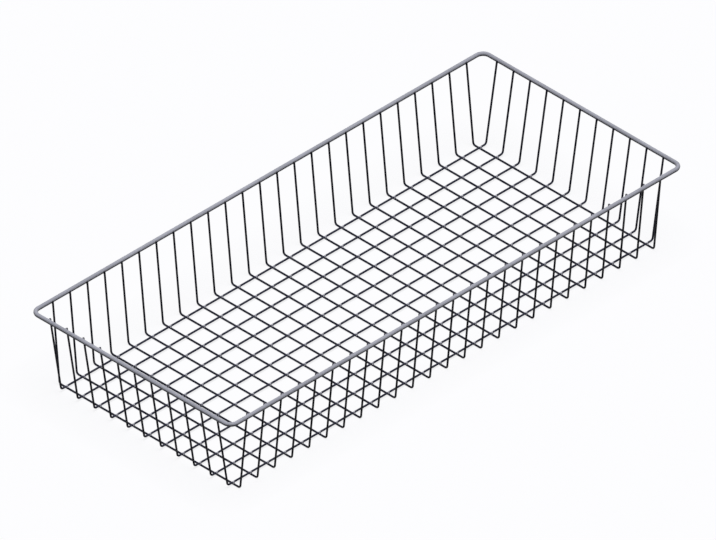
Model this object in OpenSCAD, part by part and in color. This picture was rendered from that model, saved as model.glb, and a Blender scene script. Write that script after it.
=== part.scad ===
// Wire locker basket: a closed rim rod with two layers of bent wires welded inside it.
// Millimetres. X runs along the basket, Y across it and Z up from the plane it stands on.
// The origin is the middle of the floor, at the underside of the cross wires.

/* [Basket] */
// Length over the outside of the rim
outer_length = 900; // [500:5:1200]
// Width over the outside of the rim
outer_width = 400; // [250:5:600]
// Height from the underside of the floor to the top of the rim
outer_height = 137; // [80:1:200]

/* [Rim rod] */
// Diameter of the rim rod
rim_d = 6.5; // [5:0.25:10]
// Bend radius of the rim's corners, to the middle of the rod
rim_corner_r = 12.5; // [8:0.5:30]

/* [Wires] */
// Diameter of the floor and wall wires
wire_d = 3; // [2:0.1:4]
// Bend radius where a wire turns up out of the floor, to the middle of the wire
wire_bend_r = 4.5; // [3:0.25:6]
// Height of the wires' cut ends above the middle of the rim rod
wire_end_rise = 2.5; // [0:0.25:2.5]
// How far the welds press one wire into another, or into the rim
weld_depth = 0.3; // [0.1:0.05:0.5]

/* [Cross wires, the lower layer] */
// Number of wires that run across the basket and up both long walls
cross_wire_count = 25; // [3:1:35]
// Distance from the floor's short edges to the nearest cross wire
cross_wire_inset = 11; // [9:0.5:40]
// Outward lean of the long walls, in degrees from upright
long_wall_lean = 5.8; // [0:0.2:12]

/* [Long wires, the upper layer] */
// Number of wires that run along the basket and up both short walls
long_wire_count = 11; // [3:1:19]
// Distance from the floor's long edges to the nearest long wire
long_wire_inset = 14; // [9:0.5:40]
// Outward lean of the short walls, in degrees from upright
short_wall_lean = 9.4; // [0:0.2:15]

/* [Hidden] */
wire_sides = 32;
rim_sides = 48;
// A wire is drawn a little thinner where it is bent, and each bend runs this far into the
// straight wire at both of its ends, so that the two always overlap
bend_thinning = 0.02;
bend_lap = 0.1;
rim_finish = [0.63, 0.63, 0.67];
cross_wire_finish = [0.15, 0.15, 0.18];
long_wire_finish = [0.24, 0.24, 0.27];

// Middle lines of the rim rod
rim_half_x = (outer_length - rim_d) / 2;
rim_half_y = (outer_width - rim_d) / 2;
rim_z = outer_height - rim_d / 2;

// Middle lines of the two floor layers: the long wires lie on the cross wires
cross_wire_z = wire_d / 2;
long_wire_z = cross_wire_z + wire_d - weld_depth;

// Every leg touches the inside of the rim, so the middle lines are this far apart
leg_to_rim = (rim_d + wire_d) / 2 - weld_depth;

// Half width of the floor at its sharp edge, where the lines of the leg and of the floor
// would meet, for a rim this far out, a lean, and a rise from the floor line to the rim
function floor_half(rim_half, lean, rise) =
    rim_half - leg_to_rim * cos(lean) - (rise + leg_to_rim * sin(lean)) * tan(lean);

floor_half_x = floor_half(rim_half_x, short_wall_lean, rim_z - long_wire_z);
floor_half_y = floor_half(rim_half_y, long_wall_lean, rim_z - cross_wire_z);

cross_wire_pitch = 2 * (floor_half_x - cross_wire_inset) / (cross_wire_count - 1);
long_wire_pitch = 2 * (floor_half_y - long_wire_inset) / (long_wire_count - 1);

// Place of wire number i in a row of wires that is centred on the basket
function wire_place(i, count, pitch) = (i - (count + 1) / 2) * pitch;
function wire_name(row, i) = str(row, i < 10 ? "_0" : "_", i);

// One closed rod: four straight sides and four bent corners
module rim_rod() {
    straight_x = rim_half_x - rim_corner_r;
    straight_y = rim_half_y - rim_corner_r;
    color(rim_finish) translate([0, 0, rim_z]) {
        for (side = [-1, 1]) {
            translate([-straight_x, side * rim_half_y, 0]) rotate([0, 90, 0])
                cylinder(d = rim_d, h = 2 * straight_x, $fn = rim_sides);
            translate([side * rim_half_x, straight_y, 0]) rotate([90, 0, 0])
                cylinder(d = rim_d, h = 2 * straight_y, $fn = rim_sides);
        }
        for (corner = [[1, 1, 0], [-1, 1, 90], [-1, -1, 180], [1, -1, 270]])
            translate([corner[0] * straight_x, corner[1] * straight_y, 0])
                rotate([0, 0, corner[2]])
                    rod_bend(rim_corner_r, rim_d, 90, rim_sides);
    }
}

// A bend in a rod, from the +X side of the bend's centre round towards +Y
module rod_bend(radius, diameter, turn, sides) {
    rotate_extrude(angle = turn, $fn = sides)
        translate([radius, 0]) circle(d = diameter, $fn = sides);
}

// A wire bent to a U in the XZ plane, with the middle line of its floor run on the X axis
module u_wire(half, lean, end_z) {
    turn = 90 - lean;
    run = half - wire_bend_r * tan(turn / 2);
    leg_start_z = wire_bend_r * (1 - cos(turn));
    leg_length = (end_z - leg_start_z) / cos(lean);
    lap_turn = bend_lap / wire_bend_r * 180 / PI;
    translate([-run, 0, 0]) rotate([0, 90, 0])
        cylinder(d = wire_d, h = 2 * run, $fn = wire_sides);
    for (side = [0, 180]) rotate([0, 0, side]) translate([run, 0, wire_bend_r]) {
        rotate([90, 0, 0]) rotate([0, 0, -90 - lap_turn])
            rod_bend(wire_bend_r, wire_d - bend_thinning, turn + 2 * lap_turn, wire_sides);
        rotate([0, -turn, 0]) translate([0, 0, -wire_bend_r]) rotate([0, 90, 0])
            cylinder(d = wire_d, h = leg_length, $fn = wire_sides);
    }
}

// Wire i of the lower layer, which carries the floor and both long walls
module cross_wire(i) {
    color(cross_wire_finish)
        translate([wire_place(i, cross_wire_count, cross_wire_pitch), 0, cross_wire_z])
            rotate([0, 0, 90])
                u_wire(floor_half_y, long_wall_lean, rim_z + wire_end_rise - cross_wire_z);
}

// Wire i of the upper layer, welded on the cross wires, which closes both short walls
module long_wire(i) {
    color(long_wire_finish)
        translate([0, wire_place(i, long_wire_count, long_wire_pitch), long_wire_z])
            u_wire(floor_half_x, short_wall_lean, rim_z + wire_end_rise - long_wire_z);
}

rim_rod();
for (i = [1:cross_wire_count])
    cross_wire(i);
for (i = [1:long_wire_count])
    long_wire(i);
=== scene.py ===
from math import cos, pi, radians, sin, tan

import bpy
from mathutils import Matrix, Vector


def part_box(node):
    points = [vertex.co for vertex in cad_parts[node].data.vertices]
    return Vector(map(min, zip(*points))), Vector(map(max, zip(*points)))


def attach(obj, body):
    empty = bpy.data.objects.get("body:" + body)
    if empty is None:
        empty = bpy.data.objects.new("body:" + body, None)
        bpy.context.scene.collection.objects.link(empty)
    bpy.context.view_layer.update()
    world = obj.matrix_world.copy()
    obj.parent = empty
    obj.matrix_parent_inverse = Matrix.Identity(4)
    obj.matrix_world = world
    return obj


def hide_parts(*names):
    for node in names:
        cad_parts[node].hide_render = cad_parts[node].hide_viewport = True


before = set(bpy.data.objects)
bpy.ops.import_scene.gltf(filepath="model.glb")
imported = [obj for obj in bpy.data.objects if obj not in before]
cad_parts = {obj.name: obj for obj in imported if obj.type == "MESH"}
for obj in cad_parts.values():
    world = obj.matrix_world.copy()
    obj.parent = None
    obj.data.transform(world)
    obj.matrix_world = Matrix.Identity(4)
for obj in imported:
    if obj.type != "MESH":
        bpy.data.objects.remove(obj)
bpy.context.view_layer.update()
mm = 0.001
xAxis, yAxis, zAxis = Vector((1, 0, 0)), Vector((0, 1, 0)), Vector((0, 0, 1))
mergeDistance = 0.01 * mm         # points nearer to each other than this become one
print("stage: frame loaded")


# Shader maths: a Link wraps one socket, and an expression on Links adds its Math nodes
class Link:
    def __init__(self, tree, socket=None):
        self.tree = tree
        self.socket = socket

    def into(self, target):
        self.tree.links.new(self.socket, target)

    def node(self, kind, settings=None, sockets=None, output=0):
        made = self.tree.nodes.new(kind)
        for name, value in (settings or {}).items():
            setattr(made, name, value)
        for name, value in (sockets or {}).items():
            if isinstance(value, Link):
                value.into(made.inputs[name])
            else:
                made.inputs[name].default_value = value
        return Link(self.tree, made.outputs[output])

    def maths(self, operation, first, second=0.0):
        return self.node("ShaderNodeMath", {"operation": operation}, {0: first, 1: second})

    def __add__(self, other):
        return self.maths("ADD", self, other)

    def __radd__(self, other):
        return self.maths("ADD", other, self)

    def __sub__(self, other):
        return self.maths("SUBTRACT", self, other)

    def __rsub__(self, other):
        return self.maths("SUBTRACT", other, self)

    def __mul__(self, other):
        return self.maths("MULTIPLY", self, other)

    def __rmul__(self, other):
        return self.maths("MULTIPLY", other, self)

    def step(self, low, high):  # 0 below low, 1 above high, smooth between them
        return self.node("ShaderNodeMapRange", {"interpolation_type": "SMOOTHSTEP"},
                         {"Value": self, "From Min": low, "From Max": high})

    def tint(self, first, second):  # first colour where this value is 0, second where it is 1
        # a Mix node has its colours on sockets 6 and 7, and the mixed colour on output 2
        return self.node("ShaderNodeMix", {"data_type": "RGBA"}, {0: self, 6: first, 7: second}, 2)

    def noise(self, size, detail):  # this is the vector, size is the grain in metres
        return self.node("ShaderNodeTexNoise",
                         sockets={"Vector": self, "Scale": 1 / size, "Detail": detail})


def tone(values, level=1.0):
    return (values[0] * level, values[1] * level, values[2] * level, 1)


# Coated steel, from one recipe: a thin satin coat over drawn wire, a little uneven and thinner on
# cut ends, with painted shade where it faces down and a painted highlight, a little metallic, on
# top of the floor crossings. A level multiplies the coat's own colour, and from the first edge to
# the second one shade turns into the next
coatRecipe = {
    "patchSize": 60 * mm,         # slow changes in the coat's shade
    "patchDetail": 2.0,
    "patchEdges": (0.3, 0.7),
    "patchLevels": (0.88, 1.10),
    "speckSize": 0.7 * mm,        # its fine grain
    "speckDetail": 3.0,
    "speckEdges": (0.35, 0.75),
    "speckLevel": 1.4,
    "speckShare": 0.45,
    "paintedShadeEdges": (-0.25, 0.55),  # upward part of the normal, over which the painted shade fades out
    "paintedShadeLevel": 0.25,           # painted shade: the colour is darker where the surface faces down
    "peelSize": 1.6 * mm,         # its ripple
    "peelDetail": 1.0,
    "peelHeight": 0.03 * mm,
    "peelStrength": 0.8,
    "speckHeight": 0.3,           # height of a speck, as a share of the ripple's
    "roughness": 0.46,
    "speckRoughness": 0.16,
    "patchRoughness": 0.06,
    "specular": 0.08,
    "cutTone": (0.05, 0.05, 0.06),
    # painted highlight on top of the floor crossings, a little metallic
    "highlightTone": (0.36, 0.36, 0.41),
    "highlightMetal": 0.25,
}


def coatedSteel(name, coat, highlightMask=None):
    recipe = coatRecipe
    material = bpy.data.materials.new(name)
    material.use_nodes = True
    shader = material.node_tree.nodes["Principled BSDF"]
    link = Link(material.node_tree)
    place = link.node("ShaderNodeTexCoord", output="Object")
    patches = place.noise(recipe["patchSize"], recipe["patchDetail"]).step(*recipe["patchEdges"])
    specks = place.noise(recipe["speckSize"], recipe["speckDetail"]).step(*recipe["speckEdges"])
    shade = patches.tint(*(tone(coat, level) for level in recipe["patchLevels"]))
    shade = (specks * recipe["speckShare"]).tint(shade, tone(coat, recipe["speckLevel"]))
    facing = link.node("ShaderNodeTexCoord", output="Normal")
    upward = link.node("ShaderNodeSeparateXYZ", sockets={"Vector": facing}, output="Z")
    # painted shade: darker where the surface faces down
    paintedShade = 1 - upward.step(*recipe["paintedShadeEdges"])
    shade = paintedShade.tint(shade, tone(coat, recipe["paintedShadeLevel"]))
    cut = link.node("ShaderNodeAttribute", {"attribute_name": "cutFace"}, output="Fac")
    shade = cut.tint(shade, tone(recipe["cutTone"]))
    # the painted highlight on top of each floor crossing
    if highlightMask:
        spot = highlightMask(place, specks)
        shade = spot.tint(shade, tone(recipe["highlightTone"]))
        (spot * recipe["highlightMetal"]).into(shader.inputs["Metallic"])
    shade.into(shader.inputs["Base Color"])
    rough = (recipe["roughness"] + recipe["speckRoughness"] * (specks - 0.5)
             + recipe["patchRoughness"] * patches)
    rough.into(shader.inputs["Roughness"])
    ripple = place.noise(recipe["peelSize"], recipe["peelDetail"]) + recipe["speckHeight"] * specks
    bump = link.node("ShaderNodeBump", sockets={
        "Height": ripple, "Strength": recipe["peelStrength"], "Distance": recipe["peelHeight"]})
    bump.into(shader.inputs["Normal"])
    shader.inputs["Specular IOR Level"].default_value = recipe["specular"]
    return material


# Modelling helpers
def startPiece():  # in object mode, with nothing selected
    if bpy.context.mode != "OBJECT":
        bpy.ops.object.mode_set(mode="OBJECT")
    bpy.ops.object.select_all(action="DESELECT")


def addRing(centre, along, radius, sides):
    # a circle of points round a rod's middle line, left selected in edit mode
    startPiece()
    turn = along.to_track_quat("Z", "X").to_euler()
    bpy.ops.mesh.primitive_circle_add(vertices=sides, radius=radius, fill_type="NOTHING",
                                      location=centre, rotation=turn)
    ring = bpy.context.object
    bpy.ops.object.transform_apply(location=True, rotation=True, scale=True)
    bpy.ops.object.mode_set(mode="EDIT")
    bpy.ops.mesh.select_all(action="SELECT")
    return ring


def extrude(step):
    bpy.ops.mesh.extrude_region_move(TRANSFORM_OT_translate={"value": step})


def spin(centre, axis, angle, steps):  # counterclockwise, seen from the tip of the axis
    bpy.ops.mesh.spin(steps=steps, angle=-angle, center=centre, axis=axis)


def finishPiece(piece, name, smoothAngle):
    # from edit mode: merges doubled points, turns the faces outwards, then shades and names
    bpy.ops.mesh.select_all(action="SELECT")
    bpy.ops.mesh.remove_doubles(threshold=mergeDistance)
    bpy.ops.mesh.normals_make_consistent(inside=False)
    bpy.ops.mesh.select_all(action="DESELECT")
    startPiece()
    piece.select_set(True)
    bpy.context.view_layer.objects.active = piece
    bpy.ops.object.shade_smooth_by_angle(angle=smoothAngle)
    piece.name = piece.data.name = name


def copyTo(piece, name, place):
    # a copy with its own mesh, which the place, a matrix, moves inside the object
    made = bpy.data.objects.new(name, piece.data.copy())
    made.data.name = name
    bpy.context.scene.collection.objects.link(made)
    made.data.transform(place)
    return made


# The camera: the view is an isometric one without perspective
cameraView = {
    "azimuth": radians(-45),
    "elevation": radians(35.264),
    "pixelsPerMetre": 713.87,
    "pictureWidth": 716,
    "pictureMiddle": (357.5, 269.5),
    "rimMiddle": (356.3, 238.6),  # the pixel that shows the middle of the rim's plane
    "distance": 4.0,
    "clipEnd": 20.0,
}


def setCamera(rimPlaneZ):
    view = cameraView
    side, rise = view["azimuth"], view["elevation"]
    back = Vector((sin(side) * cos(rise), -cos(side) * cos(rise), sin(rise)))
    right = Vector((cos(side), sin(side), 0))
    up = back.cross(right)
    shiftRight, shiftDown = ((middle - rim) / view["pixelsPerMetre"] for middle, rim in
                             zip(view["pictureMiddle"], view["rimMiddle"]))
    target = zAxis * rimPlaneZ + right * shiftRight - up * shiftDown
    data = bpy.data.cameras.new("camera")
    data.type = "ORTHO"
    data.ortho_scale = view["pictureWidth"] / view["pixelsPerMetre"]
    data.clip_end = view["clipEnd"]
    camera = bpy.data.objects.new("camera", data)
    bpy.context.scene.collection.objects.link(camera)
    turn = Matrix((right, up, back)).transposed().to_4x4()
    camera.matrix_world = Matrix.Translation(target + back * view["distance"]) @ turn
    bpy.context.scene.camera = camera


# The rim: one closed rod with four bent corners and a ground butt weld
rimRod = {
    "cornerRadius": 12.5 * mm,
    "sides": 36,
    "cornerSteps": 14,
    "weldAlong": 0.27,            # from the right end of the back side, a share of its length
    "weldWidth": 5 * mm,
    "weldWaist": 0.985,           # the weld is ground a little below the rod's surface
    "weldShares": (0.2, 0.6, 0.2),    # of the width: down to the waist, along it and up again
    "smoothAngle": radians(40),
    "coat": (0.28, 0.285, 0.33),
}
rimLow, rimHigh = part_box("rim_rod")
rimD = rimHigh.z - rimLow.z
rimHalfX = (rimHigh.x - rimLow.x - rimD) / 2
rimHalfY = (rimHigh.y - rimLow.y - rimD) / 2
rimZ = (rimHigh.z + rimLow.z) / 2
setCamera(rimZ)


def extrudeButtWeld(startX):
    # goes along the back side to the end of the weld, and returns the way that it has gone
    width, waist = rimRod["weldWidth"], rimRod["weldWaist"]
    weldX = rimHalfX * (1 - 2 * rimRod["weldAlong"])
    toWeld = startX - weldX - width / 2
    extrude(xAxis * -toWeld)
    for share, size in zip(rimRod["weldShares"], (waist, 1, 1 / waist)):
        extrude(xAxis * -width * share)
        bpy.ops.transform.resize(value=(1, size, size))
    return xAxis * -(toWeld + width)


def makeRimRod():
    # from the left end of the front side, counterclockwise seen from above
    straightX = rimHalfX - rimRod["cornerRadius"]
    straightY = rimHalfY - rimRod["cornerRadius"]
    rod = addRing(Vector((-straightX, -rimHalfY, rimZ)), xAxis, rimD / 2, rimRod["sides"])
    corners = ((straightX, -straightY), (straightX, straightY), (-straightX, straightY),
               (-straightX, -straightY))
    runs = (xAxis * 2 * straightX, yAxis * 2 * straightY, xAxis * -2 * straightX,
            yAxis * -2 * straightY)
    for (x, y), run in zip(corners, runs):
        if run.x < 0:  # the back side
            run = run - extrudeButtWeld(straightX)
        extrude(run)
        spin((x, y, rimZ), zAxis, pi / 2, rimRod["cornerSteps"])
    finishPiece(rod, "rimRod", rimRod["smoothAngle"])
    return rod


rim = makeRimRod()
rim.data.materials.append(coatedSteel("rimSteel", rimRod["coat"]))
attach(rim, "root")
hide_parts("rim_rod")
print("stage: rim rod made", len(rim.data.polygons))


# The wires: a straight floor run, a bend and a leaning leg at both ends, and two cut ends
wireShape = {
    "bendRadius": 4.5 * mm,
    "sides": 20,
    "bendSteps": 9,
    "cutChamfer": 0.22 * mm,      # the cutter rounds the edge of a cut end
    "cutRing": 0.2,               # width of the flat ring inside it, a share of the diameter
    "cutAbove": 0.9,              # the cut's faces lie above this share of the leg
    "cutFacing": 0.95,            # and are this square to it
    "weldDepth": 0.3 * mm,
    "smoothAngle": radians(35),
}
# the long wires' coat is painted lighter than the cross wires': painted light and shade on two
# runs of the same wire
crossWire = {"lean": radians(5.8), "coat": (0.010, 0.011, 0.022)}
longWire = {"lean": radians(9.4), "coat": (0.019, 0.020, 0.037)}


def wireRow(prefix, axis):
    # the nodes of a row of wires, their places along the axis and the pitch of the row
    nodes = sorted(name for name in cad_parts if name.startswith(prefix))
    boxes = [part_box(node) for node in nodes]
    places = [(low[axis] + high[axis]) / 2 for low, high in boxes]
    return nodes, places, (places[-1] - places[0]) / (len(places) - 1)


crossNodes, crossPlaces, crossPitch = wireRow("cross_wire_", 0)
longNodes, longPlaces, longPitch = wireRow("long_wire_", 1)
crossLow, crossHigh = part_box(crossNodes[0])
longLow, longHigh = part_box(longNodes[0])
wireD = crossHigh.x - crossLow.x


def wirePath(lean, outside, low, high):
    # outside is the half length over the leaning legs, low and high the wire's lowest and
    # highest z
    bend = wireShape["bendRadius"]
    radius = wireD / 2
    floorZ = low + radius
    endOut = outside - radius * cos(lean)
    endZ = high - radius * sin(lean)
    floorHalf = endOut - (endZ - floorZ) * tan(lean)
    turn = pi / 2 - lean
    runEnd = floorHalf - bend * tan(turn / 2)
    legStartZ = floorZ + bend - bend * cos(turn)
    return {"floorZ": floorZ, "runEnd": runEnd, "bendCentre": (runEnd, 0, floorZ + bend),
            "turn": turn, "legDirection": Vector((sin(lean), 0, cos(lean))),
            "legLength": (endZ - legStartZ) / cos(lean)}


def cutEnd(along):
    # closes the open end of a leg with a chamfer and a flat face
    chamfer = wireShape["cutChamfer"]
    bpy.ops.mesh.edge_face_add()
    bpy.ops.transform.translate(value=along * -chamfer)
    bpy.ops.mesh.inset(thickness=chamfer)
    bpy.ops.transform.translate(value=along * chamfer)
    bpy.ops.mesh.inset(thickness=wireD * wireShape["cutRing"])


def markCuts(mesh, path):
    # the face attribute that the steel reads, 1 on the cut ends
    cut = mesh.attributes.new("cutFace", "FLOAT", "FACE")
    above = path["floorZ"] + path["legLength"] * wireShape["cutAbove"]
    for face in mesh.polygons:
        facing = Vector((abs(face.normal.x), 0, face.normal.z))
        square = facing.dot(path["legDirection"]) > wireShape["cutFacing"]
        cut.data[face.index].value = 1.0 if square and face.center.z > above else 0.0


def makeWire(name, path):
    # modelled from the middle of the floor run outwards, along +X at Y = 0, then mirrored
    wire = addRing(zAxis * path["floorZ"], xAxis, wireD / 2, wireShape["sides"])
    extrude(xAxis * path["runEnd"])
    spin(path["bendCentre"], -yAxis, path["turn"], wireShape["bendSteps"])
    extrude(path["legDirection"] * path["legLength"])
    cutEnd(path["legDirection"])
    bpy.ops.object.mode_set(mode="OBJECT")
    mirror = wire.modifiers.new("otherHalf", "MIRROR")
    mirror.use_axis = (True, False, False)
    mirror.use_clip = True
    mirror.merge_threshold = mergeDistance
    bpy.ops.object.modifier_apply(modifier="otherHalf")
    bpy.ops.object.mode_set(mode="EDIT")
    finishPiece(wire, name, wireShape["smoothAngle"])
    markCuts(wire.data, path)
    return wire


def placeWires(form, nodes, places, across, steel, pieceName):
    for number, (node, place) in enumerate(zip(nodes, places), 1):
        wire = copyTo(form, f"{pieceName}{number:02d}", Matrix.Translation(across * place))
        wire.data.materials.append(steel)
        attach(wire, "root")
        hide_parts(node)
    bpy.data.objects.remove(form)
    print("stage: wires made", pieceName, len(nodes))


# A painted highlight, a little metallic, on top of each crossing of the floor
crossingHighlightShape = {
    "solidRadius": 1.3 * mm,
    "fadeRadius": 2.2 * mm,
    "unevenness": 0.4 * mm,
    "strength": 0.9,
    "top": 6.0 * mm,              # there are no crossings above this height
    "topFade": 1 * mm,
}


def fromNearest(along, first, pitch):
    # distance from the nearest of the evenly spaced places
    return along.node("ShaderNodeMath", {"operation": "WRAP"},
                      {0: along - first, 1: pitch / 2, 2: -pitch / 2})


# painted highlight: lighter and a little metallic round each crossing of the floor
def paintedCrossingHighlights(place, specks):
    mark = crossingHighlightShape
    x, y, z = (place.node("ShaderNodeSeparateXYZ", sockets={"Vector": place}, output=name)
               for name in "XYZ")
    nearX = fromNearest(x, crossPlaces[0], crossPitch)
    nearY = fromNearest(y, longPlaces[0], longPitch)
    distance = place.maths("SQRT", nearX * nearX + nearY * nearY)
    uneven = distance + mark["unevenness"] * (specks - 0.5)
    spot = 1 - uneven.step(mark["solidRadius"], mark["fadeRadius"])
    low = 1 - z.step(mark["top"], mark["top"] + mark["topFade"])
    return spot * low * mark["strength"]


crossSteel = coatedSteel("crossWireSteel", crossWire["coat"], paintedCrossingHighlights)
longSteel = coatedSteel("longWireSteel", longWire["coat"], paintedCrossingHighlights)
crossPath = wirePath(crossWire["lean"], crossHigh.y, crossLow.z, crossHigh.z)
longPath = wirePath(longWire["lean"], longHigh.x, longLow.z, longHigh.z)
crossForm = makeWire("crossWireForm", crossPath)
crossForm.data.transform(Matrix.Rotation(pi / 2, 4, "Z"))
longForm = makeWire("longWireForm", longPath)
placeWires(crossForm, crossNodes, crossPlaces, xAxis, crossSteel, "crossWire")
placeWires(longForm, longNodes, longPlaces, yAxis, longSteel, "longWire")


# The welds: the metal that a spot weld squeezes out into the four quadrants between two rods
weldBead = {
    "sides": 12,
    "radius": 1.9 * mm,
    "reach": 1.28,                # how much further it reaches between the rods
    "reachFrom": 0.3,             # where x times y, in radii, is more than this
    "height": 1.5 * mm,
    "edgeShare": 0.4,             # height of its upright edge, a share of the whole
    "dome": 0.5 * mm,             # how far the two ends slope in
    "flatFacing": 0.9,            # a face this square to the Z axis is one of the ends
    "smoothAngle": radians(60),
    "coat": (0.30, 0.30, 0.34),
}


def makeBead():
    # round the Z axis, at the origin, with its reaches along the diagonals of X and Y
    shape = weldBead
    domeHeight = shape["height"] * (1 - shape["edgeShare"]) / 2
    startPiece()
    bpy.ops.mesh.primitive_cylinder_add(vertices=shape["sides"], radius=shape["radius"],
                                        depth=shape["height"] * shape["edgeShare"],
                                        location=(0, 0, 0))
    bead = bpy.context.object
    bpy.ops.object.mode_set(mode="EDIT")
    bpy.ops.mesh.select_all(action="DESELECT")
    bpy.ops.object.mode_set(mode="OBJECT")
    for corner in bead.data.vertices:
        diagonal = abs(corner.co.x * corner.co.y) / shape["radius"] ** 2
        corner.select = diagonal > shape["reachFrom"]
    bpy.ops.object.mode_set(mode="EDIT")
    bpy.ops.transform.resize(value=(shape["reach"], shape["reach"], 1))
    bpy.ops.mesh.select_mode(type="FACE")
    for side in (1, -1):
        bpy.ops.mesh.select_all(action="DESELECT")
        bpy.ops.object.mode_set(mode="OBJECT")
        for face in bead.data.polygons:
            face.select = face.normal.z * side > shape["flatFacing"]
        bpy.ops.object.mode_set(mode="EDIT")
        bpy.ops.mesh.inset(thickness=shape["dome"])
        bpy.ops.transform.translate(value=(0, 0, side * domeHeight))
    bpy.ops.mesh.select_mode(type="VERT")
    finishPiece(bead, "weldBead", shape["smoothAngle"])
    return bead


def placeBeads(bead, name, places):
    # one piece with a copy of the bead at each place, a matrix
    startPiece()
    copies = [copyTo(bead, f"{name}{count}", place) for count, place in enumerate(places)]
    for copied in copies:
        copied.select_set(True)
    bpy.context.view_layer.objects.active = copies[0]
    bpy.ops.object.join()
    made = bpy.context.object
    made.name = made.data.name = name
    return made


def rimContact(x, y, outwards, lean):
    # in the plane where a leg touches the rim, with the Z axis pointing from rim to leg
    inwards = outwards * -cos(lean) + zAxis * sin(lean)
    spot = Vector((x, y, rimZ)) + inwards * (rimD - wireShape["weldDepth"]) / 2
    return Matrix.Translation(spot) @ inwards.to_track_quat("Z", "Y").to_matrix().to_4x4()


bead = makeBead()
contactZ = (crossPath["floorZ"] + longPath["floorZ"]) / 2
floorPlaces = [Matrix.Translation((x, y, contactZ)) for x in crossPlaces for y in longPlaces]
rimPlaces = []
for side in (1, -1):
    rimPlaces += [rimContact(x, side * rimHalfY, yAxis * side, crossWire["lean"])
                  for x in crossPlaces]
    rimPlaces += [rimContact(side * rimHalfX, y, xAxis * side, longWire["lean"])
                  for y in longPlaces]
floorBeads = placeBeads(bead, "floorWelds", floorPlaces)
rimBeads = placeBeads(bead, "rimWelds", rimPlaces)
bpy.data.objects.remove(bead)
beadSteel = coatedSteel("weldBeadSteel", weldBead["coat"])
for beads in (floorBeads, rimBeads):
    beads.data.materials.append(beadSteel)
    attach(beads, "root")
print("stage: welds made", len(floorPlaces), len(rimPlaces))


# Floor, light and backdrop
studio = {
    "floorSize": 14.0,
    "keyStrength": 3.77,          # at pi, a surface square to the light shows its own colour
    "keyAngle": radians(36),      # how soft its shadows are
    "keyTilt": radians(6),
    "worldLevel": 0.06,           # how much light comes from all round
    "shadowShare": 0.15,          # how much of the floor's brightness a full shadow takes away
    "white": (0.985, 0.985, 1.0),
    "shadowWhite": (0.77, 0.77, 0.78),
    "bounceGrey": (0.05, 0.05, 0.05),
}


def seenDirectly(link):
    # 1 for rays from the camera, from a reflection or through glass
    outputs = link.node("ShaderNodeLightPath").socket.node.outputs
    camera, glossy, transmission = (Link(link.tree, outputs[name]) for name in (
        "Is Camera Ray", "Is Glossy Ray", "Is Transmission Ray"))
    return link.maths("MINIMUM", camera + glossy + transmission, 1.0)


def makeFloor():
    startPiece()
    bpy.ops.mesh.primitive_plane_add(size=studio["floorSize"], location=(0, 0, 0))
    floor = bpy.context.object
    floor.name = "studioFloor"
    material = bpy.data.materials.new("studioFloor")
    material.use_nodes = True
    nodes = material.node_tree.nodes
    nodes.remove(nodes["Principled BSDF"])
    link = Link(material.node_tree)
    white = link.node("ShaderNodeEmission", sockets={"Color": tone(studio["white"])})
    shadowed = link.node("ShaderNodeBsdfDiffuse", sockets={"Color": tone(studio["shadowWhite"])})
    shown = link.node("ShaderNodeMixShader",
                      sockets={0: studio["shadowShare"], 1: white, 2: shadowed})
    bounce = link.node("ShaderNodeBsdfDiffuse", sockets={"Color": tone(studio["bounceGrey"])})
    both = link.node("ShaderNodeMixShader", sockets={0: seenDirectly(link), 1: bounce, 2: shown})
    both.into(nodes["Material Output"].inputs["Surface"])
    floor.data.materials.append(material)


def makeLight():
    lamp = bpy.data.lights.new("keyLight", "SUN")
    lamp.energy = studio["keyStrength"]
    lamp.angle = studio["keyAngle"]
    key = bpy.data.objects.new("keyLight", lamp)
    bpy.context.scene.collection.objects.link(key)
    key.rotation_euler = (studio["keyTilt"], 0, 0)
    world = bpy.data.worlds.new("studioWorld")
    bpy.context.scene.world = world
    world.use_nodes = True
    background = world.node_tree.nodes["Background"]
    background.inputs["Color"].default_value = tone(studio["white"])
    seen = seenDirectly(Link(world.node_tree))
    seen.maths("MAXIMUM", seen, studio["worldLevel"]).into(background.inputs["Strength"])


makeFloor()
makeLight()
bpy.context.scene.view_settings.view_transform = "Standard"
print("stage: floor and light made")
